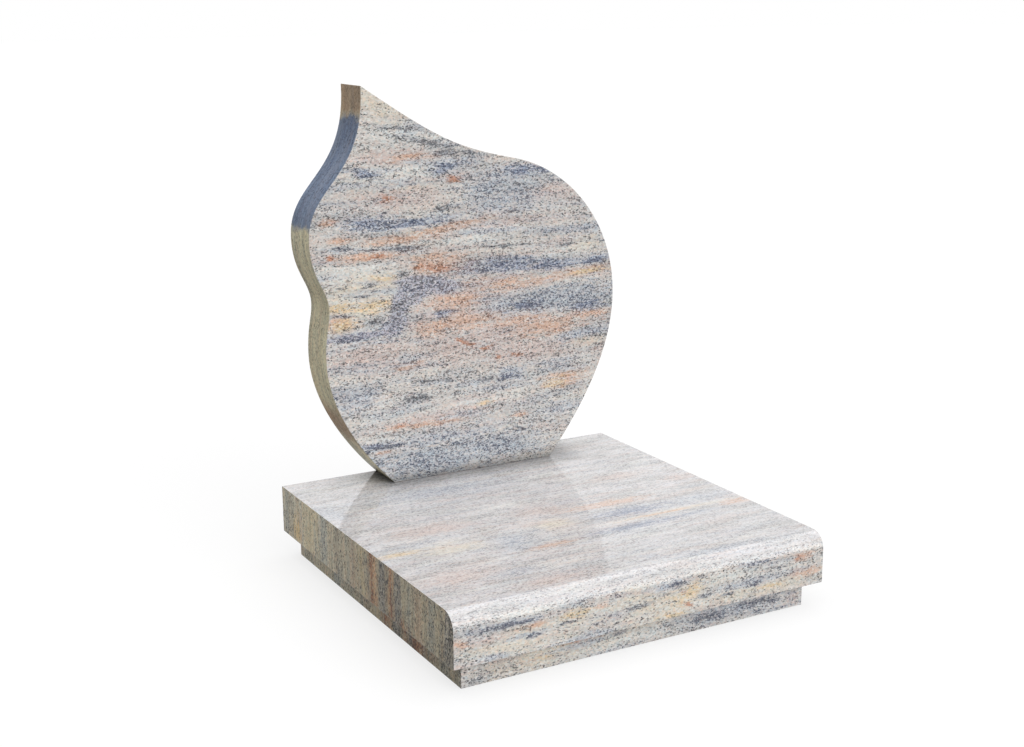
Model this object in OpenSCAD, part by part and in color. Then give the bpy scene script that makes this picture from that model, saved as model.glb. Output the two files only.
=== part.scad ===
// Cremation memorial of polished granite: a flame-shaped headstone stands on the back of a
// square base slab, and the slab lies on a slightly smaller plinth.
// Millimetres, +Z up. The origin is the centre of the plinth's underside, and the front faces -Y.

/* [Base slab] */
// Width of the base slab
slab_w = 600; // [450:5:900]
// Depth of the base slab, front to back
slab_d = 600; // [400:5:900]
// Thickness of the base slab
slab_t = 75; // [40:1:120]
// Radius of the rounded top edge along the slab's front
nosing_r = 25; // [5:1:38]

/* [Plinth] */
// Height of the plinth under the slab
plinth_h = 38; // [20:1:120]
// How far the plinth's sides stand back from the slab's edges
plinth_inset = 20; // [5:1:60]

/* [Headstone] */
// Thickness of the headstone, front to back
headstone_t = 75; // [40:1:120]
// Overall width of the headstone, from its upper left lobe to its right side
headstone_w = 541; // [440:1:640]
// How far the headstone's centre line lies to the right of the slab's centre
headstone_shift = 3; // [-40:1:40]
// Reach of the flat foot to the left of the headstone's centre line
foot_left = 140; // [90:1:180]
// Reach of the flat foot to the right of the headstone's centre line
foot_right = 147; // [90:1:180]

/* [Headstone left side] */
// Height of the lower lobe's widest point above the slab
lower_lobe_z = 212; // [150:1:280]
// How far the lower lobe stays inside the overall width
lower_lobe_inset = 21; // [5:1:50]
// Rise from the lower lobe to the waist
waist_rise = 78; // [50:1:120]
// Depth of the waist, measured in from the lower lobe
waist_depth = 8; // [2:1:25]
// Rise from the waist to the upper lobe's widest point
upper_lobe_rise = 108; // [70:1:150]

/* [Headstone tip and right side] */
// Rise from the upper lobe to the pointed tip
tip_rise = 228; // [170:1:300]
// How far the tip lies in from the overall width's left limit
tip_inset = 91; // [50:1:140]
// Run of the falling top edge from the tip to the shoulder
shoulder_run = 264; // [200:1:310]
// Drop of the top edge from the tip to the shoulder
shoulder_drop = 122; // [90:1:170]
// Height of the right side's widest point above the slab
right_side_z = 270; // [190:1:330]

/* [Hidden] */

// Granite as it reads from a distance
face_colour = [0.80, 0.76, 0.74];
plinth_colour = [0.70, 0.67, 0.66];

// Overrun that keeps a cut clear of the surface it starts from
cut_margin = 1;

// Straight steps that follow each curve of the outline
curve_steps = 24;

slab_top_z = plinth_h + slab_t;
plinth_w = slab_w - 2 * plinth_inset;
plinth_d = slab_d - 2 * plinth_inset;

// Anchors of the headstone's outline: x from its centre line, then height above the slab
left_limit = -headstone_w / 2;
right_limit = headstone_w / 2;
waist_z = lower_lobe_z + waist_rise;
upper_lobe_z = waist_z + upper_lobe_rise;
left_foot = [-foot_left, 0];
lower_lobe = [left_limit + lower_lobe_inset, lower_lobe_z];
waist = [lower_lobe.x + waist_depth, waist_z];
upper_lobe = [left_limit, upper_lobe_z];
tip = [left_limit + tip_inset, upper_lobe_z + tip_rise];
shoulder = tip + [shoulder_run, -shoulder_drop];
right_side = [right_limit, right_side_z];
right_foot = [foot_right, 0];

// Headings of the outline at its anchors, in degrees anticlockwise from +x
straight_up = 90;
straight_down = -90;
leaving_left_foot = 135;
rising_to_tip = 92;
falling_from_tip = -33.5;
at_shoulder = -12;
reaching_right_foot = -129;

// The outline's curves, clockwise from the left foot. Each runs from one anchor to the next,
// and each end has a heading and a fullness: the pull along that heading as a share of the span.
outline_curves = [
    [left_foot, leaving_left_foot, 0.34, lower_lobe, straight_up, 0.32],
    [lower_lobe, straight_up, 0.56, waist, straight_up, 0.30],
    [waist, straight_up, 0.30, upper_lobe, straight_up, 0.52],
    [upper_lobe, straight_up, 0.35, tip, rising_to_tip, 0.57],
    [tip, falling_from_tip, 0.54, shoulder, at_shoulder, 0.36],
    [shoulder, at_shoulder, 0.34, right_side, straight_down, 0.40],
    [right_side, straight_down, 0.38, right_foot, reaching_right_foot, 0.24],
];

function heading(angle) = [cos(angle), sin(angle)];

// Point at share t of the cubic curve with end points a and d and inner control points b and c
function cubic(a, b, c, d, t) =
    pow(1 - t, 3) * a + 3 * pow(1 - t, 2) * t * b + 3 * (1 - t) * pow(t, 2) * c + pow(t, 3) * d;

// Points along one outline curve, without its last point, which starts the next curve
function curve_points(curve) =
    let (
        start = curve[0],
        end = curve[3],
        span = norm(end - start),
        start_control = start + curve[2] * span * heading(curve[1]),
        end_control = end - curve[5] * span * heading(curve[4])
    )
    [for (i = [0 : curve_steps - 1]) cubic(start, start_control, end_control, end, i / curve_steps)];

function outline_points() =
    [for (curve = outline_curves) each curve_points(curve), right_foot];

// Side profile of the slab: y, then height above the plinth
module slab_profile() {
    front_y = -slab_d / 2;
    nosing_base_z = slab_t - nosing_r;
    difference() {
        translate([front_y, 0]) square([slab_d, slab_t]);
        difference() {
            translate([front_y - cut_margin, nosing_base_z]) square(nosing_r + cut_margin);
            translate([front_y + nosing_r, nosing_base_z]) circle(r = nosing_r, $fn = 96);
        }
    }
}

// A flat block under the slab
module plinth() {
    color(plinth_colour)
        translate([-plinth_w / 2, -plinth_d / 2, 0])
            cube([plinth_w, plinth_d, plinth_h]);
}

// The slab, sharp all round but for the nosing along its front
module base_slab() {
    color(face_colour)
        translate([-slab_w / 2, 0, plinth_h])
            rotate([90, 0, 90])
                linear_extrude(slab_w)
                    slab_profile();
}

// The upright stone, with its back in line with the slab's back
module headstone() {
    color(face_colour)
        translate([headstone_shift, slab_d / 2, slab_top_z])
            rotate([90, 0, 0])
                linear_extrude(headstone_t)
                    polygon(outline_points());
}

plinth();
base_slab();
headstone();
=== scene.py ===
import math
from collections import namedtuple

import bpy
from mathutils import Matrix, Vector


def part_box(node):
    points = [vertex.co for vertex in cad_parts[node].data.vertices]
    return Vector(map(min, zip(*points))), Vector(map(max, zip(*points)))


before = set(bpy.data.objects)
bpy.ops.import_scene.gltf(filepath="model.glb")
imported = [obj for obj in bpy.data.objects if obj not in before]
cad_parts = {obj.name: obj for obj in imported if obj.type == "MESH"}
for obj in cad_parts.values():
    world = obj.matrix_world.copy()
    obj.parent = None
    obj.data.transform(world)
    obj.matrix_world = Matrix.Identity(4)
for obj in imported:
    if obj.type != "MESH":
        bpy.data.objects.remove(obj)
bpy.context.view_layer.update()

MM = 0.001

# The frame's own places, in metres
SLAB_LOW, SLAB_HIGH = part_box("base_slab")
SLAB_FRONT = SLAB_LOW.y
SLAB_TOP = SLAB_HIGH.z
HEADSTONE_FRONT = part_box("headstone")[0].y

# Viewpoint: the camera's place and reach in metres, its heading in degrees, and its focal length in pixels
IMAGE_WIDTH = 1024
CAMERA_PLACE = Vector((-1.0928, -1.8880, 0.8688))
CAMERA_AZIMUTH = -28.997
CAMERA_ELEVATION = 14.021
CAMERA_ROLL = -0.384
CAMERA_REACH = 100
FOCAL_PIXELS = 1517.1
SENSOR_WIDTH = 36.0

# Light levels, where 1 shows a colour about as it is written, the lights' widths in degrees, and the
# directions that they come from
WHITE = (1.0, 1.0, 1.0, 1.0)
AMBIENT = 0.30
KEY_LEVEL = 0.97
KEY_WIDTH = 100
KEY_FROM = Vector((0.10, -0.12, 0.97))
FILL_LEVEL = 0.70
FILL_WIDTH = 60
FILL_FROM = Vector((0.35, -0.93, 0.10))

# The floor: half its width and how far it lies below the plinth, in metres, how light it is to the stones and
# to the eye, and how much of what the eye sees is its own glow
FLOOR_HALF = 30.0
FLOOR_DROP = 0.5 * MM
FLOOR_BOUNCE = 0.35
FLOOR_PALE = 0.80
FLOOR_GLOW = 0.75

# Edges of the stones, with angles in degrees
WELD_GAP = 0.02 * MM
FLAT_ANGLE = 0.3
ARRIS_WIDTH = 0.9 * MM
ARRIS_STEPS = 2
ARRIS_ANGLE = 35
NORMAL_WEIGHT = 80

# Painted shade along the joint at the headstone's foot, in metres. On the slab it lies before a straight
# stretch, a little to the right of the foot, and around its ends. On the headstone it reaches upwards.
SHADE_MIDDLE = 0.0190
SHADE_HALF_WIDTH = 0.1435
SLAB_SHADE_REACH = 0.062
STONE_SHADE_REACH = 0.022
SHADE_DEPTH = 0.5

# Polish: how the stone bends light, the shine of the faces, the slab's top and front, the duller sides and
# the headstone's edge, how rough stone is and how much more flakes are, and the faint waves of the surface
STONE_IOR = 1.4
FACE_SHINE = 0.5
SLAB_SHINE = 0.85
SIDE_SHINE = 0.10
EDGE_SHINE = 0.0005
STONE_ROUGHNESS = 0.05
FLAKE_ROUGHNESS = 0.05
WAVE_STRENGTH = 0.05
WAVE_DEPTH = 0.2 * MM

# Where a surface starts to count as an edge, side, top, left side or left edge, and where it does in full, by
# the part of its normal along y, x, z, x and x
EDGE_FACING = (0.75, 0.60)
SIDE_FACING = (0.60, 0.75)
TOP_FACING = (0.15, 0.75)
LEFT_SIDE_FACING = (-0.60, -0.75)
LEFT_EDGE_FACING = (0.0, -0.3)

# How light each stone is, and the slab's top with painted shade along its front and painted light at the
# headstone
HEADSTONE_TONE = 0.965
SLAB_TONE = 1.0
# The plinth is lighter, partly as painted light against the shade under the slab's overhang
PLINTH_TONE = 1.12
TOP_FRONT_PAINTED_SHADE = 0.93
TOP_BACK_PAINTED_LIGHT = 1.07

# How strongly the grain shows on the edges, the left side and the top, where 1 is as on the front
EDGE_GRAIN = 0.6
SIDE_GRAIN = 1.15
TOP_GRAIN = 0.55

# Scales along, across and through the bands. The small ones draw noises and grains out along the bands.
BAND_STRETCH = (0.22, 1.0, 0.22)
STREAK_STRETCH = (0.12, 1.0, 0.12)
LINE_STRETCH = (0.05, 1.0, 0.05)
GRAIN_STRETCH = (0.65, 1.0, 0.65)

# Noises of the stone: waves per metre across the bands, then detail and roughness
WIDE_NOISE = (16.0, 2.0, 0.55)
FINE_NOISE = (80.0, 3.0, 0.65)
TATTER_NOISE = (190.0, 3.0, 0.7)
STREAK_NOISE = (60.0, 5.0, 0.65)
DRIFT_NOISE = (45.0, 4.0, 0.6)
LINE_NOISE = (120.0, 4.0, 0.6)
FLAKE_NOISE = (150.0, 2.0, 0.6)
POLISH_NOISE = (90.0, 2.0, 0.55)
CAST_NOISE = (36.0, 4.0, 0.65)
MIDDLE_LEVEL = 0.5

# Crystals per metre across the bands
GRAIN_CELLS = 460.0
FLAKE_CELLS = 620.0
BLOT_CELLS = 390.0

# How far the wide and the fine noise move a vein, in metres, and how ragged its rim is
WIDE_SWAY = (0.030, 0.008, 0.0)
FINE_SWAY = (0.036, 0.008, 0.0)
RAGGEDNESS = 3.0

# Where a vein starts and where it is whole, as shares of its half sizes. Crisp veins also waver less.
SOFT_RIM = (1.45, 0.15)
CRISP_RIM = (1.15, 0.70)
CRISP_TINTS = {"dark"}
CALM = 0.35

# Thin streaks: their tints, how far apart these lie in the noise, where a streak starts and is whole, and how
# strong it is
STREAK_TINTS = ("pale", "blush", "blue")
STREAK_GAP = 2.0
STREAK_RANGE = (0.48, 0.70)
STREAK_DEPTH = 0.8

# Drifts of grey in the ground, and the flakes that come with them
DRIFT_RANGE = (0.40, 0.64)
DRIFT_FLAKE_RANGE = (0.35, 0.65)
DRIFT_FLAKES = 0.12

# How strongly a tint covers the ground. The grain's loudness scales it, by no less than LEAST_TINT.
TINT_DEPTH = 0.9
LEAST_TINT = 0.8

# Grains: how much their lightness varies, which of them are quartz, and how clear that is
UNEVENNESS = 0.26
QUARTZ_RANGE = (0.80, 0.92)
QUARTZ_DEPTH = 0.6

# Depth of the thin lines along the bands, on the faces and on the sides
FACE_LINES = 0.45
SIDE_LINES = 1.1

# Dark flakes: their share in the ground, how much they gather in lines, how soft they are, how dark the
# palest is and how much darker others are, and how far they take a warm band's colour
FLAKE_SHARE = 0.14
FLAKE_LINES = 0.9
FLAKE_RANGE = (-0.20, 0.14)
FLAKE_DEPTH = 0.45
FLAKE_DEPTH_SPREAD = 0.50
FLAKE_WARMTH = 0.7

# Blots are larger flakes: the share of flakes at which they start, how many come, and how soft they are
BLOT_START = 0.14
BLOT_SHARE = 0.5
BLOT_RANGE = (-0.02, 0.06)


def stone_colour(red, green, blue):
    """A colour given as 0 to 255 screen values, as a linear colour with alpha."""

    def linear(value):
        share = value / 255
        if share <= 0.04045:
            return share / 12.92
        return ((share + 0.055) / 1.055) ** 2.4

    return (linear(red), linear(green), linear(blue), 1.0)


# Minerals of the granite, from its pale ground to its dark flakes
GROUND = stone_colour(200, 195, 189)
# The tops have a cooler ground: a painted reflection of a cool sky
TOP_GROUND_WITH_PAINTED_REFLECTION = stone_colour(197, 195, 197)
GROUND_GREY = stone_colour(181, 180, 180)
QUARTZ = stone_colour(218, 218, 215)
PEPPER = stone_colour(48, 49, 54)
SLATE = stone_colour(46, 54, 78)
BIOTITE = stone_colour(112, 76, 58)

# Casts between which the single grains vary
GRAIN_WARM = (1.07, 0.985, 0.94, 1.0)
GRAIN_COOL = (0.94, 1.015, 1.06, 1.0)

# Tints of the veins and streaks, in the order in which they are laid over each other
TINTS = {
    "pale": stone_colour(211, 210, 205),
    "cream": stone_colour(207, 198, 182),
    "blush": stone_colour(194, 178, 172),
    "peach": stone_colour(202, 169, 148),
    "ochre": stone_colour(214, 191, 154),
    "blue": stone_colour(179, 183, 190),
    "slate": stone_colour(174, 179, 185),
    "navy": stone_colour(148, 157, 175),
    "dark": stone_colour(174, 174, 185),
    "rust": stone_colour(184, 134, 108),
    "pepper": stone_colour(150, 152, 157),
}

# How much each tint adds to the share of dark flakes
FLAKES = {
    "pale": -0.10,
    "cream": -0.10,
    "blush": 0.0,
    "peach": 0.0,
    "ochre": -0.05,
    "blue": 0.10,
    "slate": 0.12,
    "navy": 0.32,
    "dark": 0.24,
    "rust": 0.06,
    "pepper": 0.45,
}

# Casts of the stones' edges and sides. Those on the left are painted reflection and shade in several
# colours, and all others have DULL.
DULL = (0.92, 0.89, 0.80, 1.0)
OLIVE = (1.24, 1.19, 0.90, 1.0)
BROWN = (0.85, 0.68, 0.51, 1.0)
STEEL = (0.41, 0.51, 0.71, 1.0)
MOSS = (0.97, 0.91, 0.70, 1.0)
UMBER = (0.76, 0.69, 0.50, 1.0)

# Where the painted reflections and shade on the headstone's left edge start and end, as heights above the
# slab in metres, and how far these limits waver. Elsewhere the edge has an olive painted reflection.
STEEL_START = (0.408, 0.424)
STEEL_END = (0.589, 0.569)
LOW_BROWN_START = (0.05, 0.09)
LOW_BROWN_END = (0.15, 0.11)
TIP_BROWN_START = (0.572, 0.592)
CAST_WAVER = 0.045

# Where the painted reflection and shade on the left sides of the slab and the plinth turn from moss to
# umber: y in metres
UMBER_START = (0.16, -0.06)

# Veins by colour. Each is its middle's two places, the half length, the half height, and the tilt in
# degrees, with lengths in millimetres. On the headstone's face the places are x and the height above
# the slab.
FACE_VEINS = {
    "pale": [
        (-100, 493, 60, 14, 0),
        (-115, 550, 85, 16, -8),
        (-200, 332, 70, 10, 0),
        (-205, 308, 60, 10, 0),
        (-185, 348, 85, 16, 0),
        (20, 380, 60, 8, 0),
        (150, 347, 70, 8, 0),
        (-40, 115, 120, 16, 3),
    ],
    "cream": [
        (-150, 600, 55, 26, -25),
        (-185, 318, 75, 24, 3),
        (-145, 470, 70, 7, 0),
        (215, 190, 40, 8, 0),
        (230, 357, 36, 12, 0),
        (-80, 398, 30, 6, 0),
        (-190, 284, 40, 12, 0),
    ],
    "blush": [
        (-125, 452, 85, 20, 0),
        (155, 450, 75, 20, 0),
        (70, 404, 140, 9, 0),
        (0, 285, 95, 48, 8),
        (60, 224, 140, 28, 0),
        (-175, 208, 95, 26, 0),
        (110, 188, 120, 24, 0),
        (-60, 100, 120, 12, 3),
        (-30, 210, 80, 30, 0),
        (-40, 262, 85, 34, 0),
        (-130, 518, 75, 12, 0),
        (270, 165, 40, 22, 0),
    ],
    "peach": [
        (-95, 514, 38, 7, 0),
        (-235, 425, 16, 8, 0),
        (-215, 395, 18, 6, 0),
        (-120, 390, 65, 7, 0),
        (-165, 370, 85, 8, 0),
        (15, 409, 42, 5, 3),
        (-20, 404, 90, 6, 9),
        (-52, 348, 62, 19, -4),
        (130, 301, 95, 8, 8),
        (-62, 246, 44, 13, 0),
        (40, 308, 75, 13, 0),
        (-10, 288, 60, 16, 8),
        (215, 312, 68, 8, 2),
        (-225, 266, 32, 13, 3),
        (105, 243, 75, 13, 0),
        (220, 237, 52, 9, 0),
        (0, 252, 60, 18, 0),
        (150, 225, 70, 16, 0),
        (-110, 187, 20, 7, 0),
        (180, 131, 48, 14, 4),
        (-125, 92, 18, 5, 0),
        (100, 82, 16, 5, 0),
        (-60, 88, 60, 6, 0),
        (-160, 52, 26, 3, 0),
        (-275, 264, 26, 9, 0),
    ],
    "ochre": [
        (-160, 291, 34, 11, 3),
        (-222, 293, 28, 7, 0),
        (-215, 262, 30, 11, 3),
        (-145, 331, 22, 7, 0),
        (228, 311, 40, 5, 2),
        (165, 127, 22, 9, 0),
        (30, 112, 14, 5, 0),
    ],
    "blue": [
        (-30, 502, 42, 11, 5),
        (90, 483, 85, 15, 4),
        (30, 462, 52, 17, 10),
        (65, 438, 80, 24, 0),
        (-60, 416, 95, 9, 2),
        (50, 393, 65, 5, 0),
        (190, 384, 85, 8, -2),
        (210, 330, 85, 10, 0),
        (180, 272, 115, 27, 2),
        (60, 270, 62, 10, 8),
        (-180, 247, 80, 11, 0),
        (215, 206, 62, 8, 5),
        (70, 155, 32, 13, 0),
        (-195, 148, 52, 21, 0),
        (-170, 64, 38, 10, 0),
        (-70, 26, 125, 28, 0),
        (40, 38, 95, 24, 0),
        (-40, 62, 100, 12, 0),
    ],
    "slate": [
        # The first two lie along the foot: a blue-grey band of the stone, partly darker as painted shade
        (-75, 28, 125, 26, 0),
        (60, 32, 85, 20, 0),
        (175, 268, 110, 24, 2),
        (80, 462, 90, 14, 5),
    ],
    "navy": [
        (-172, 418, 46, 12, 0),
        (-105, 412, 60, 8, 2),
        (110, 484, 45, 8, 0),
        (-178, 496, 30, 8, -15),
        (-30, 499, 32, 5, 5),
        (-50, 491, 15, 5, 0),
        (70, 335, 92, 13, -3),
        (150, 328, 52, 9, -2),
        (95, 264, 34, 8, 5),
        (220, 254, 32, 9, 0),
        (-45, 266, 22, 6, 0),
        (70, 148, 19, 5, 0),
        (-165, 63, 32, 6, 0),
        (240, 328, 32, 5, 0),
    ],
    "dark": [
        (-68, 315, 64, 15, -10),
        (-96, 309, 30, 26, 0),
        (-117, 290, 48, 17, 72),
        (-128, 258, 28, 17, 40),
        (-190, 246, 60, 6, 3),
    ],
    "rust": [
        (-25, 478, 15, 6, 0),
        (-52, 341, 30, 5, -6),
        (-88, 345, 15, 4, 0),
        (-38, 341, 11, 3, 0),
        (-8, 216, 15, 4, -35),
        (-158, 369, 11, 4, 15),
        (-237, 373, 9, 5, 0),
        (28, 200, 11, 4, 0),
        (-145, 455, 9, 5, 0),
        (85, 184, 9, 4, 0),
        (50, 183, 8, 4, 0),
        (-122, 92, 8, 3, 0),
    ],
    "pepper": [
        (-212, 384, 15, 4, -5),
        (-170, 378, 15, 3, 0),
        (-112, 376, 36, 4, -3),
        (-35, 519, 32, 4, 0),
        (-75, 538, 60, 5, -12),
        (-120, 560, 50, 4, -6),
        (5, 515, 17, 5, 0),
        (65, 366, 52, 3, -2),
        (175, 357, 20, 3, 3),
        (-172, 323, 11, 3, 10),
        (-190, 307, 24, 3, 3),
        (-218, 279, 22, 3, -4),
        (-160, 267, 11, 4, 0),
        (80, 421, 15, 4, 0),
        (-43, 433, 14, 6, 0),
        (-95, 133, 25, 6, 0),
        (-70, 159, 38, 3, -6),
        (90, 57, 8, 5, 0),
        (-112, 336, 9, 6, 0),
        (-155, 60, 36, 3, 0),
        (30, 150, 13, 4, 0),
    ],
}

# Veins of the slab's front and back: x, then z
FRONT_VEINS = {
    "pale": [(-200, 50, 90, 8, 0), (120, 80, 60, 8, 0)],
    "cream": [(-10, 65, 105, 30, 0), (180, 52, 110, 16, 0), (-190, 60, 100, 20, 0)],
    "blush": [(-50, 60, 20, 6, 0), (-250, 70, 40, 8, 0)],
    "peach": [
        (-72, 80, 14, 5, 0),
        (262, 83, 18, 6, 0),
        (270, 60, 32, 7, 0),
        (-182, 75, 24, 5, 0),
        (-292, 70, 12, 8, 0),
    ],
    "ochre": [(-116, 77, 25, 7, 0), (60, 70, 26, 14, 30), (210, 50, 18, 4, 0), (30, 42, 24, 4, 0)],
    "blue": [
        (170, 63, 80, 9, 0),
        (170, 90, 30, 5, 0),
        (-240, 44, 24, 5, 0),
        (30, 87, 40, 9, 0),
        (-222, 84, 60, 6, 0),
        (-185, 62, 50, 5, 0),
    ],
    "navy": [(-205, 84, 24, 3, 0)],
    "rust": [(52, 72, 6, 3, 0), (62, 52, 10, 3, -20), (254, 83, 8, 4, 0)],
    "pepper": [
        (-130, 66, 12, 3, 0),
        (-180, 60, 12, 3, 0),
        (-220, 83, 30, 3, 0),
        (-20, 66, 26, 4, 0),
        (40, 87, 14, 4, 0),
        (90, 60, 14, 4, 0),
        (128, 52, 12, 3, 0),
        (175, 59, 16, 3, 0),
        (220, 74, 14, 3, 0),
    ],
}

# Veins of the plinth's front and back: x, then z
PLINTH_VEINS = {
    "pale": [(-20, 14, 110, 14, 0), (150, 32, 90, 8, 0)],
    "cream": [(-150, 22, 120, 18, 0), (-10, 30, 80, 10, 0)],
    "blush": [(-215, 31, 40, 8, 0), (262, 16, 14, 12, 0)],
    "peach": [(-92, 30, 26, 7, 0)],
    "ochre": [(-150, 16, 14, 4, 0)],
    "blue": [(150, 20, 130, 16, 0)],
    "rust": [(-105, 29, 10, 3, 0), (-200, 32, 10, 3, 0)],
    "pepper": [(-40, 24, 14, 3, 0), (105, 16, 34, 5, 0), (205, 20, 40, 4, 0)],
}

# Veins of the slab's and the plinth's left and right sides: z, then y
SIDE_VEINS = {
    "cream": [(60, -15, 140, 18, 0), (60, 170, 140, 60, 0)],
    "blush": [(60, -200, 140, 14, 0), (60, 20, 140, 10, 0)],
    "peach": [(60, -112, 140, 13, 0), (60, -50, 140, 18, 0), (20, -160, 40, 24, 0)],
    "ochre": [(60, 240, 24, 18, 0)],
    "blue": [(60, 130, 140, 20, 0), (60, -170, 140, 8, 0), (60, -236, 140, 14, 0)],
    "dark": [(60, -135, 140, 12, 0), (60, -288, 140, 14, 0), (60, -82, 140, 12, 0)],
    "rust": [(60, -46, 140, 5, 0), (60, -112, 140, 3, 0), (15, -150, 30, 20, 0)],
}

# Veins of the slab's top: x, then y
TOP_VEINS = {
    "cream": [(-190, -83, 52, 22, 0), (-19, -67, 32, 24, 0), (169, -108, 130, 7, 1)],
    "blush": [
        (-184, -5, 70, 26, 0),
        (6, -11, 60, 32, 0),
        (184, 73, 56, 18, 0),
        (269, 23, 34, 18, 0),
        (-237, -186, 66, 32, 0),
        (-112, -258, 64, 22, 0),
    ],
    "peach": [(-62, -143, 50, 11, 2), (112, -33, 70, 14, 0), (150, -109, 60, 4, 1), (275, -120, 30, 12, 0)],
    "ochre": [(-270, -70, 38, 10, 0)],
    "blue": [
        # This first one lies where the headstone's blue foot is mirrored in the polished top: a painted
        # reflection
        (-94, 151, 115, 26, 0),
        (-290, 140, 28, 45, 0),
        (194, -134, 60, 7, 0),
        (231, -80, 76, 20, 0),
        (134, -274, 90, 9, 0),
        (34, -249, 22, 12, -30),
        (-153, -208, 40, 14, 0),
        (-106, -102, 30, 32, 0),
    ],
    "navy": [(85, -136, 88, 12, 2), (109, -78, 66, 18, 0)],
    "pepper": [(-110, -138, 12, 6, 0)],
}

# The plinth's top lies under the slab, so it has none
NO_VEINS = {}

# Where a point lies on a stone: its place and share in each zone that has veins, its place among the
# grains, how much it is a side or a top, the sides' cast with painted reflection and shade on the left, how
# loud the grain is, and how light the stone is, with painted shade and painted light
Spot = namedtuple("Spot", "zones grain side_share top_share cast loud tone")
Zone = namedtuple("Zone", "share place veins")


class Graph:
    """A node tree with short calls for the kinds of node that the stone needs."""

    def __init__(self, tree):
        self.tree = tree

    def feed(self, socket, value):
        if isinstance(value, bpy.types.NodeSocket):
            self.tree.links.new(value, socket)
        else:
            socket.default_value = value

    def node(self, kind, inputs=(), **settings):
        made = self.tree.nodes.new(kind)
        for name, value in settings.items():
            setattr(made, name, value)
        for key, value in dict(inputs).items():
            self.feed(made.inputs[key], value)
        return made

    def math(self, operation, first, second=0.0, clamp=False):
        inputs = {0: first, 1: second}
        return self.node("ShaderNodeMath", inputs, operation=operation, use_clamp=clamp).outputs[0]

    def vector(self, operation, first, second):
        return self.node("ShaderNodeVectorMath", {0: first, 1: second}, operation=operation).outputs[0]

    def length(self, vector):
        return self.node("ShaderNodeVectorMath", {0: vector}, operation="LENGTH").outputs["Value"]

    def dot(self, first, second):
        inputs = {0: first, 1: second}
        return self.node("ShaderNodeVectorMath", inputs, operation="DOT_PRODUCT").outputs["Value"]

    def combine(self, x, y, z):
        return self.node("ShaderNodeCombineXYZ", {0: x, 1: y, 2: z}).outputs[0]

    def split(self, vector):
        return self.node("ShaderNodeSeparateXYZ", {0: vector}).outputs

    def step(self, value, low, high):
        """0 below low, 1 above high, and smooth between them; low may be the larger."""
        inputs = {"Value": value, "From Min": low, "From Max": high}
        made = self.node("ShaderNodeMapRange", inputs, interpolation_type="SMOOTHSTEP")
        return made.outputs["Result"]

    def mix(self, share, first, second, blend="MIX"):
        made = self.node("ShaderNodeMix", data_type="RGBA", blend_type=blend)
        self.feed(made.inputs[0], share)
        self.feed(made.inputs[6], first)
        self.feed(made.inputs[7], second)
        return made.outputs[2]

    def cast(self, colour, cast):
        """The colour times a cast."""
        return self.mix(1.0, colour, cast, "MULTIPLY")

    def dim(self, colour, level):
        """The colour at a level, where 1 leaves it as it is."""
        return self.cast(colour, self.combine(level, level, level))

    def blend(self, share, first, second):
        made = self.node("ShaderNodeMix", data_type="FLOAT")
        self.feed(made.inputs[0], share)
        self.feed(made.inputs[2], first)
        self.feed(made.inputs[3], second)
        return made.outputs[0]

    def mix_vector(self, share, first, second):
        made = self.node("ShaderNodeMix", data_type="VECTOR")
        self.feed(made.inputs[0], share)
        self.feed(made.inputs[4], first)
        self.feed(made.inputs[5], second)
        return made.outputs[1]

    def noise(self, place, scale, detail, roughness):
        inputs = {"Vector": place, "Scale": scale, "Detail": detail, "Roughness": roughness}
        return self.node("ShaderNodeTexNoise", inputs, noise_dimensions="3D")

    def level(self, place, noise):
        """A noise's level, from 0 to 1."""
        return self.noise(place, *noise).outputs["Fac"]

    def swing(self, place, noise):
        """A noise's level, above or below the middle one."""
        return self.math("SUBTRACT", self.level(place, noise), MIDDLE_LEVEL)

    def sway(self, place, noise, reach):
        """A move to all sides by a noise."""
        middle = (MIDDLE_LEVEL, MIDDLE_LEVEL, MIDDLE_LEVEL)
        move = self.vector("SUBTRACT", self.noise(place, *noise).outputs["Color"], middle)
        return self.vector("MULTIPLY", move, reach)

    def cells(self, place, scale):
        """Three chances from 0 to 1 for each crystal."""
        made = self.node("ShaderNodeTexVoronoi", {"Vector": place, "Scale": scale}, feature="F1")
        return self.split(made.outputs["Color"])

    def turn(self, place, tilt):
        """The place in axes that are turned by tilt degrees."""
        cosine = math.cos(math.radians(tilt))
        sine = math.sin(math.radians(tilt))
        return self.combine(self.dot(place, (cosine, sine, 0.0)), self.dot(place, (-sine, cosine, 0.0)), 0.0)

    def vein(self, place, x, height, half_length, half_height, tilt):
        """Distance from a vein's middle, 1 at its rim."""
        if tilt:
            place = self.turn(place, tilt)
        middle = Matrix.Rotation(-math.radians(tilt), 2) @ Vector((x, height))
        squeeze = (1 / (half_length * MM), 1 / (half_height * MM), 0.0)
        shift = (-middle.x / half_length, -middle.y / half_height, 0.0)
        inputs = {0: place, 1: squeeze, 2: shift}
        return self.length(self.node("ShaderNodeVectorMath", inputs, operation="MULTIPLY_ADD").outputs[0])

    def vein_share(self, place, ragged, veins, rim):
        """How strongly a point lies in any of the veins, from 0 to 1; rim is where it starts and is whole."""
        nearest = None
        for vein in veins:
            distance = self.vein(place, *vein)
            nearest = distance if nearest is None else self.math("MINIMUM", nearest, distance)
        return self.step(self.math("ADD", nearest, ragged), *rim)


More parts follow.
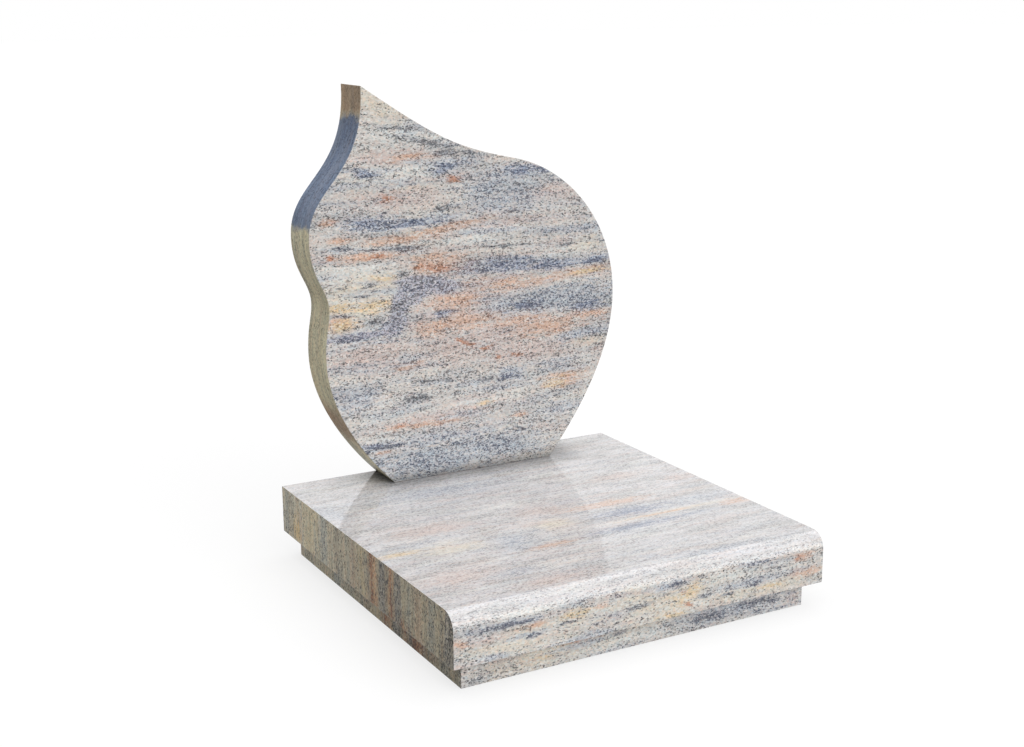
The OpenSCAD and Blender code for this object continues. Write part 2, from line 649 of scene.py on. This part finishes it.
def vein_shares(g, spot, band_place):
    """How strongly a point lies in the veins of each tint. They are wavy, and their rims are ragged."""
    wide = g.sway(band_place, WIDE_NOISE, WIDE_SWAY)
    fine = g.sway(band_place, FINE_NOISE, FINE_SWAY)
    move = g.vector("ADD", wide, fine)
    ragged = g.math("MULTIPLY", g.swing(band_place, TATTER_NOISE), RAGGEDNESS)
    shares = dict.fromkeys(TINTS, 0.0)
    for zone in spot.zones:
        for tint, veins in zone.veins.items():
            calm = CALM if tint in CRISP_TINTS else 1.0
            rim = CRISP_RIM if tint in CRISP_TINTS else SOFT_RIM
            place = g.vector("ADD", zone.place, g.vector("MULTIPLY", move, (calm, calm, 0.0)))
            share = g.vein_share(place, g.math("MULTIPLY", ragged, calm), veins, rim)
            shares[tint] = g.math("ADD", shares[tint], g.math("MULTIPLY", share, zone.share))
    return shares


def add_streaks(g, spot, shares):
    """Thin streaks of some tints run through the whole stone."""
    streak_place = g.vector("MULTIPLY", spot.grain, STREAK_STRETCH)
    for number, tint in enumerate(STREAK_TINTS):
        shifted = g.vector("ADD", streak_place, (STREAK_GAP * number, 1.0, 1.0))
        streak = g.step(g.level(shifted, STREAK_NOISE), *STREAK_RANGE)
        shares[tint] = g.math("MAXIMUM", shares[tint], g.math("MULTIPLY", streak, STREAK_DEPTH))


def banded_ground(g, spot, band_place, shares):
    """Colour of the ground with drifts of grey and the bands on it, and the share of dark flakes there."""
    drift = g.level(band_place, DRIFT_NOISE)
    # Tops take the cooler ground of the painted sky reflection
    ground = g.mix(spot.top_share, GROUND, TOP_GROUND_WITH_PAINTED_REFLECTION)
    colour = g.mix(g.step(drift, *DRIFT_RANGE), ground, GROUND_GREY)
    drift_flakes = g.math("MULTIPLY", g.step(drift, *DRIFT_FLAKE_RANGE), DRIFT_FLAKES)
    flakes = g.math("ADD", drift_flakes, FLAKE_SHARE)
    depth = g.math("MULTIPLY", g.math("MAXIMUM", spot.loud, LEAST_TINT), TINT_DEPTH)
    for tint, share in shares.items():
        colour = g.mix(g.math("MULTIPLY", share, depth), colour, TINTS[tint])
        flakes = g.math("ADD", flakes, g.math("MULTIPLY", share, FLAKES[tint]))
    return colour, flakes


def grained(g, spot, grain_place, colour):
    """The colour in grains, each lighter or darker, warmer or cooler, with some clear quartz among them."""
    chances = g.cells(grain_place, GRAIN_CELLS)
    uneven = g.math("MULTIPLY", g.math("SUBTRACT", chances[0], MIDDLE_LEVEL), UNEVENNESS)
    colour = g.dim(colour, g.math("ADD", g.math("MULTIPLY", uneven, spot.loud), 1.0))
    lean = g.mix(chances[1], GRAIN_WARM, GRAIN_COOL)
    colour = g.mix(spot.loud, colour, g.cast(colour, lean))
    clear = g.math("MULTIPLY", g.step(chances[2], *QUARTZ_RANGE), QUARTZ_DEPTH)
    return g.mix(g.math("MULTIPLY", clear, spot.loud), colour, QUARTZ)


def lined(g, spot, colour):
    """The colour with thin light and dark lines along the bands, strongest on the sides."""
    line_place = g.vector("MULTIPLY", spot.grain, LINE_STRETCH)
    depth = g.blend(spot.side_share, FACE_LINES, SIDE_LINES)
    lines = g.math("MULTIPLY", g.swing(line_place, LINE_NOISE), depth)
    return g.dim(colour, g.math("ADD", g.math("MULTIPLY", lines, spot.loud), 1.0))


def flake_tint(g, shares):
    """The flakes' colour, which leans to that of the band that they lie in."""
    tint = g.mix(g.math("MAXIMUM", shares["blue"], shares["navy"]), PEPPER, SLATE)
    warm = g.math("MULTIPLY", g.math("MAXIMUM", shares["peach"], shares["rust"]), FLAKE_WARMTH)
    return g.mix(warm, tint, BIOTITE)


def flaked(g, spot, band_place, grain_place, shares, flakes, colour):
    """The colour with dark flakes of two sizes in lines along the bands, and where the flakes lie."""
    lines = g.math("MULTIPLY", g.swing(band_place, FLAKE_NOISE), FLAKE_LINES)
    flakes = g.math("ADD", flakes, lines)
    chances = g.cells(grain_place, FLAKE_CELLS)
    small = g.step(g.math("SUBTRACT", flakes, chances[0]), *FLAKE_RANGE)
    blots = g.math("MULTIPLY", g.math("SUBTRACT", flakes, BLOT_START), BLOT_SHARE)
    blot_chance = g.cells(grain_place, BLOT_CELLS)[1]
    large = g.step(g.math("SUBTRACT", blots, blot_chance), *BLOT_RANGE)
    flake = g.math("MAXIMUM", small, large)
    depth = g.math("ADD", g.math("MULTIPLY", chances[1], FLAKE_DEPTH_SPREAD), FLAKE_DEPTH)
    cover = g.math("MULTIPLY", flake, g.math("MULTIPLY", depth, spot.loud))
    return g.mix(cover, colour, flake_tint(g, shares)), flake


def granite(name, place_on_stone, face_shine, side_shine):
    """A material for one stone, banded along its faces and streaked along its sides."""
    material = bpy.data.materials.new(name)
    material.use_nodes = True
    tree = material.node_tree
    tree.nodes.clear()
    g = Graph(tree)
    output = g.node("ShaderNodeOutputMaterial")
    surface = g.node("ShaderNodeBsdfPrincipled", {"IOR": STONE_IOR})
    tree.links.new(surface.outputs[0], output.inputs["Surface"])

    coords = g.node("ShaderNodeTexCoord")
    spot = place_on_stone(g, coords.outputs["Object"], coords.outputs["Normal"])
    band_place = g.vector("MULTIPLY", spot.grain, BAND_STRETCH)
    grain_place = g.vector("MULTIPLY", spot.grain, GRAIN_STRETCH)

    shares = vein_shares(g, spot, band_place)
    add_streaks(g, spot, shares)
    colour, flakes = banded_ground(g, spot, band_place, shares)
    colour = grained(g, spot, grain_place, colour)
    colour = lined(g, spot, colour)
    colour, flake = flaked(g, spot, band_place, grain_place, shares, flakes, colour)
    # Sides and edges take their cast, which on the left is a painted reflection and shade
    colour = g.mix(spot.side_share, colour, g.cast(colour, spot.cast))
    # The tone carries painted shade at the foot and painted light and shade along the slab's top
    colour = g.dim(colour, spot.tone)

    waves = g.level(grain_place, POLISH_NOISE)
    polish = g.node("ShaderNodeBump", {"Height": waves, "Strength": WAVE_STRENGTH, "Distance": WAVE_DEPTH})
    roughness = g.math("ADD", g.math("MULTIPLY", flake, FLAKE_ROUGHNESS), STONE_ROUGHNESS)
    g.feed(surface.inputs["Base Color"], colour)
    g.feed(surface.inputs["Roughness"], roughness)
    g.feed(surface.inputs["Specular IOR Level"], g.blend(spot.side_share, face_shine, side_shine))
    g.feed(surface.inputs["Normal"], polish.outputs["Normal"])
    return material


def shaded(g, tone, shade):
    """A tone that is darker in the painted shade at the foot."""
    return g.math("MULTIPLY", g.math("SUBTRACT", 1.0, g.math("MULTIPLY", shade, SHADE_DEPTH)), tone)


def left_edge_painted_reflection(g, position, height):
    """Painted reflection and shade on the headstone's left edge: olive, with one steel blue and two brown
    stretches.
    """
    level = g.math("ADD", height, g.math("MULTIPLY", g.swing(position, CAST_NOISE), CAST_WAVER))
    steel = g.math("MULTIPLY", g.step(level, *STEEL_START), g.step(level, *STEEL_END))
    low_brown = g.math("MULTIPLY", g.step(level, *LOW_BROWN_START), g.step(level, *LOW_BROWN_END))
    brown = g.math("MAXIMUM", low_brown, g.step(level, *TIP_BROWN_START))
    return g.mix(brown, g.mix(steel, OLIVE, STEEL), BROWN)


def headstone_place(g, position, normal):
    """Bands lie level on the front and back, and streaks follow the edge around the outline."""
    x, y, z = g.split(position)
    height = g.math("SUBTRACT", z, SLAB_TOP)
    facing = g.split(normal)
    edge = g.step(g.math("ABSOLUTE", facing[1]), *EDGE_FACING)
    face = Zone(g.math("SUBTRACT", 1.0, edge), g.combine(x, height, 0.0), FACE_VEINS)
    grain = g.mix_vector(edge, g.combine(x, height, y), g.combine(x, y, height))
    # Left-facing edges take a painted reflection and shade, and the others are DULL
    cast = g.mix(g.step(facing[0], *LEFT_EDGE_FACING), DULL, left_edge_painted_reflection(g, position, height))
    loud = g.blend(edge, 1.0, EDGE_GRAIN)
    # Painted shade darkens the face just above the slab
    tone = shaded(g, HEADSTONE_TONE, g.step(height, STONE_SHADE_REACH, 0.0))
    return Spot([face], grain, edge, 0.0, cast, loud, tone)


def foot_shade(g, x, y):
    """Painted shade on the slab: 1 at the joint with the headstone, and 0 out of its reach."""
    past_end = g.math("SUBTRACT", g.math("ABSOLUTE", g.math("SUBTRACT", x, SHADE_MIDDLE)), SHADE_HALF_WIDTH)
    beside = g.math("MAXIMUM", past_end, 0.0)
    before = g.math("MAXIMUM", g.math("SUBTRACT", HEADSTONE_FRONT, y), 0.0)
    return g.step(g.length(g.combine(beside, before, 0.0)), SLAB_SHADE_REACH, 0.0)


def block_place(g, position, normal, top_veins, front_veins, block_tone):
    """Bands run over the top and down the front, and streaks run down the sides."""
    x, y, z = g.split(position)
    facing = g.split(normal)
    side = g.step(g.math("ABSOLUTE", facing[0]), *SIDE_FACING)
    left = g.step(facing[0], *LEFT_SIDE_FACING)
    upward = g.step(facing[2], *TOP_FACING)
    front = g.math("SUBTRACT", g.math("SUBTRACT", 1.0, side), upward, clamp=True)
    zones = [
        Zone(upward, g.combine(x, y, 0.0), top_veins),
        Zone(front, g.combine(x, z, 0.0), front_veins),
        Zone(side, g.combine(z, y, 0.0), SIDE_VEINS),
    ]
    across = g.math("ADD", y, g.math("SUBTRACT", z, SLAB_TOP))
    grain = g.mix_vector(side, g.combine(x, across, 0.0), g.combine(z, y, x))
    # The left sides take a painted reflection and shade, moss at the back and umber at the front; others are
    # DULL
    cast = g.mix(left, DULL, g.mix(g.step(y, *UMBER_START), MOSS, UMBER))
    loud = g.blend(upward, g.blend(left, 1.0, SIDE_GRAIN), TOP_GRAIN)
    # Painted shade along the top's front and painted light towards the headstone
    top_painted_light_and_shade = g.blend(g.step(y, SLAB_FRONT, HEADSTONE_FRONT), TOP_FRONT_PAINTED_SHADE, TOP_BACK_PAINTED_LIGHT)
    tone = g.blend(upward, block_tone, shaded(g, top_painted_light_and_shade, foot_shade(g, x, y)))
    return Spot(zones, grain, side, upward, cast, loud, tone)


def slab_place(g, position, normal):
    return block_place(g, position, normal, TOP_VEINS, FRONT_VEINS, SLAB_TONE)


def plinth_place(g, position, normal):
    return block_place(g, position, normal, NO_VEINS, PLINTH_VEINS, PLINTH_TONE)


def finish_edges(stone):
    """Clean faces, a fine arris along the sharp edges, and smooth curves."""
    for face in stone.data.polygons:
        face.use_smooth = True
    weld = stone.modifiers.new("weld", "WELD")
    weld.merge_threshold = WELD_GAP
    flat = stone.modifiers.new("flat_faces", "DECIMATE")
    flat.decimate_type = "DISSOLVE"
    flat.angle_limit = math.radians(FLAT_ANGLE)
    arris = stone.modifiers.new("arris", "BEVEL")
    arris.width = ARRIS_WIDTH
    arris.segments = ARRIS_STEPS
    arris.limit_method = "ANGLE"
    arris.angle_limit = math.radians(ARRIS_ANGLE)
    normals = stone.modifiers.new("normals", "WEIGHTED_NORMAL")
    normals.keep_sharp = False
    normals.weight = NORMAL_WEIGHT


def dress(node, material):
    """Give one of the frame's stones its material and its finished edges."""
    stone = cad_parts[node]
    stone.data.materials.clear()
    stone.data.materials.append(material)
    finish_edges(stone)


dress("headstone", granite("headstone_granite", headstone_place, FACE_SHINE, EDGE_SHINE))
dress("base_slab", granite("slab_granite", slab_place, SLAB_SHINE, SIDE_SHINE))
dress("plinth", granite("plinth_granite", plinth_place, FACE_SHINE, SIDE_SHINE))


def make_camera():
    """The viewpoint, turned by its azimuth, elevation and roll."""
    azimuth = math.radians(CAMERA_AZIMUTH)
    elevation = math.radians(CAMERA_ELEVATION)
    roll = math.radians(CAMERA_ROLL)
    level = math.cos(elevation)
    forward = Vector((-math.sin(azimuth) * level, math.cos(azimuth) * level, -math.sin(elevation)))
    level_right = forward.cross(Vector((0, 0, 1))).normalized()
    level_up = level_right.cross(forward)
    right = math.cos(roll) * level_right + math.sin(roll) * level_up
    up = math.cos(roll) * level_up - math.sin(roll) * level_right
    data = bpy.data.cameras.new("camera")
    data.sensor_fit = "HORIZONTAL"
    data.sensor_width = SENSOR_WIDTH
    data.lens = FOCAL_PIXELS * SENSOR_WIDTH / IMAGE_WIDTH
    data.clip_end = CAMERA_REACH
    camera = bpy.data.objects.new("camera", data)
    axes = Matrix((right, up, -forward)).transposed().to_4x4()
    camera.matrix_world = Matrix.Translation(CAMERA_PLACE) @ axes
    bpy.context.scene.collection.objects.link(camera)
    bpy.context.scene.camera = camera


def seen_ray(g):
    """1 for rays that show the background itself: camera, glossy and transmitted ones."""
    path = g.node("ShaderNodeLightPath")
    seen = g.math("ADD", path.outputs["Is Camera Ray"], path.outputs["Is Glossy Ray"])
    return g.math("ADD", seen, path.outputs["Is Transmission Ray"], clamp=True)


def make_world():
    """White where it is seen, and a soft light on the stones."""
    world = bpy.data.worlds.new("studio")
    world.use_nodes = True
    tree = world.node_tree
    tree.nodes.clear()
    g = Graph(tree)
    shown = g.node("ShaderNodeBackground", {"Color": WHITE, "Strength": 1.0})
    ambient = g.node("ShaderNodeBackground", {"Color": WHITE, "Strength": AMBIENT})
    blend = g.node("ShaderNodeMixShader", {0: seen_ray(g), 1: ambient.outputs[0], 2: shown.outputs[0]})
    g.node("ShaderNodeOutputWorld", {"Surface": blend.outputs[0]})
    bpy.context.scene.world = world


def floor_material():
    """Nearly white to the eye, so that its shadows are faint, and darker to the stones."""
    material = bpy.data.materials.new("floor")
    material.use_nodes = True
    tree = material.node_tree
    tree.nodes.clear()
    g = Graph(tree)
    seen = seen_ray(g)
    level = g.blend(seen, FLOOR_BOUNCE, FLOOR_PALE)
    pale = g.node("ShaderNodeBsdfDiffuse", {"Color": g.combine(level, level, level)})
    white = g.node("ShaderNodeEmission", {"Color": WHITE, "Strength": 1.0})
    blend = g.node("ShaderNodeMixShader", {1: pale.outputs[0], 2: white.outputs[0]})
    g.feed(blend.inputs[0], g.math("MULTIPLY", seen, FLOOR_GLOW))
    g.node("ShaderNodeOutputMaterial", {"Surface": blend.outputs[0]})
    return material


def make_floor():
    """A wide, pale floor for the studio, which is no piece of the part."""
    half = FLOOR_HALF
    mesh = bpy.data.meshes.new("floor")
    corners = [(-half, -half, 0), (half, -half, 0), (half, half, 0), (-half, half, 0)]
    mesh.from_pydata(corners, [], [(0, 1, 2, 3)])
    floor = bpy.data.objects.new("floor", mesh)
    floor.location.z = -FLOOR_DROP
    bpy.context.scene.collection.objects.link(floor)
    mesh.materials.append(floor_material())


def make_sun(name, level, width, source):
    """A broad, even light from the direction of source."""
    data = bpy.data.lights.new(name, "SUN")
    data.energy = level * math.pi
    data.angle = math.radians(width)
    light = bpy.data.objects.new(name, data)
    light.rotation_mode = "QUATERNION"
    light.rotation_quaternion = (-source).to_track_quat("-Z", "Y")
    bpy.context.scene.collection.objects.link(light)


make_camera()
make_world()
make_floor()
make_sun("key", KEY_LEVEL, KEY_WIDTH, KEY_FROM)
make_sun("fill", FILL_LEVEL, FILL_WIDTH, FILL_FROM)

bpy.context.scene.view_settings.view_transform = "Standard"
